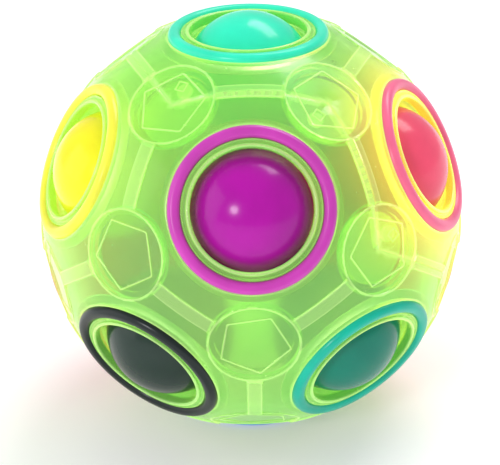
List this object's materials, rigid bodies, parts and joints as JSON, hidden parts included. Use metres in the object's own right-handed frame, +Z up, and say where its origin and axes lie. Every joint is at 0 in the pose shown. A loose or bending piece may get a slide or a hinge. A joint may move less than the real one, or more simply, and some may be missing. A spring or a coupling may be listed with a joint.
{
  "type": "puzzle ball",
  "caption": "Hollow translucent puzzle ball with ringed round holes; coloured balls press in and roll to the empty hole.",
  "frame": {"origin": "centre of the flat land on the lowest ring, where the ball stands", "axes": "+Z up through the mint hole, -Y towards the magenta hole, +X to the right as seen from the magenta side"},
  "size_m": [0.0698, 0.0702, 0.0688],
  "materials": {
    "shell": "translucent fluorescent green, gloss",
    "mint_ring": "gloss",
    "magenta_ring": "gloss",
    "pink_ring": "gloss",
    "blue_ring": "gloss",
    "white_ring": "gloss",
    "yellow_ring": "gloss",
    "teal_ring": "gloss",
    "orange_ring": "gloss",
    "violet_ring": "gloss",
    "red_ring": "gloss",
    "black_ring": "gloss",
    "sky_ring": "gloss",
    "mint_ball": "gloss",
    "magenta_ball": "gloss",
    "pink_ball": "gloss",
    "blue_ball": "gloss",
    "white_ball": "gloss",
    "yellow_ball": "gloss",
    "teal_ball": "gloss",
    "orange_ball": "gloss",
    "violet_ball": "gloss",
    "red_ball": "gloss",
    "black_ball": "gloss",
    "core": "satin"
  },
  "bodies": {
    "shell": {"front_shell_half": "shell", "rear_shell_half": "shell", "mint_ring": "mint_ring", "magenta_ring": "magenta_ring", "pink_ring": "pink_ring", "blue_ring": "blue_ring", "white_ring": "white_ring", "yellow_ring": "yellow_ring", "teal_ring": "teal_ring", "orange_ring": "orange_ring", "violet_ring": "violet_ring", "red_ring": "red_ring", "black_ring": "black_ring", "sky_ring": "sky_ring"},
    "mint_ball": {"mint_ball": "mint_ball"},
    "magenta_ball": {"magenta_ball": "magenta_ball"},
    "pink_ball": {"pink_ball": "pink_ball"},
    "blue_ball": {"blue_ball": "blue_ball"},
    "white_ball": {"white_ball": "white_ball"},
    "yellow_ball": {"yellow_ball": "yellow_ball"},
    "teal_ball": {"teal_ball": "teal_ball"},
    "orange_ball": {"orange_ball": "orange_ball"},
    "red_ball": {"red_ball": "red_ball"},
    "black_ball": {"black_ball": "black_ball"},
    "core": {"core_upper_half": "core", "core_lower_half": "core"},
    "violet_ball": {"violet_ball": "violet_ball"}
  },
  "joints": [
    {"name": "mint_press", "type": "slide", "parent": "shell", "child": "mint_ball", "axis": [0, 0, -1], "range_m": [0, 0.0016]},
    {"name": "magenta_press", "type": "slide", "parent": "shell", "child": "magenta_ball", "axis": [0, 0.8944, -0.4472], "range_m": [0, 0.0016]},
    {"name": "pink_press", "type": "slide", "parent": "shell", "child": "pink_ball", "axis": [-0.8507, 0.2764, -0.4472], "range_m": [0, 0.0016]},
    {"name": "blue_press", "type": "slide", "parent": "shell", "child": "blue_ball", "axis": [-0.5257, -0.7236, -0.4472], "range_m": [0, 0.0016]},
    {"name": "white_press", "type": "slide", "parent": "shell", "child": "white_ball", "axis": [0.5257, -0.7236, -0.4472], "range_m": [0, 0.0016]},
    {"name": "yellow_press", "type": "slide", "parent": "shell", "child": "yellow_ball", "axis": [0.8507, 0.2764, -0.4472], "range_m": [0, 0.0016]},
    {"name": "teal_press", "type": "slide", "parent": "shell", "child": "teal_ball", "axis": [-0.5257, 0.7236, 0.4472], "range_m": [0, 0.0016]},
    {"name": "orange_press", "type": "slide", "parent": "shell", "child": "orange_ball", "axis": [-0.8507, -0.2764, 0.4472], "range_m": [0, 0.0016]},
    {"name": "red_press", "type": "slide", "parent": "shell", "child": "red_ball", "axis": [0.8507, -0.2764, 0.4472], "range_m": [0, 0.0016]},
    {"name": "black_press", "type": "slide", "parent": "shell", "child": "black_ball", "axis": [0.5257, 0.7236, 0.4472], "range_m": [0, 0.0016]},
    {"name": "ball_roll", "type": "hinge", "parent": "shell", "child": "core", "pos_m": [0, 0, 0.03312], "axis": [-1, 0, 0], "range_deg": [0, 63.43]},
    {"name": "violet_press", "type": "slide", "parent": "core", "child": "violet_ball", "axis": [0, 0.8944, -0.4472], "range_m": [0, 0.00469]}
  ]
}
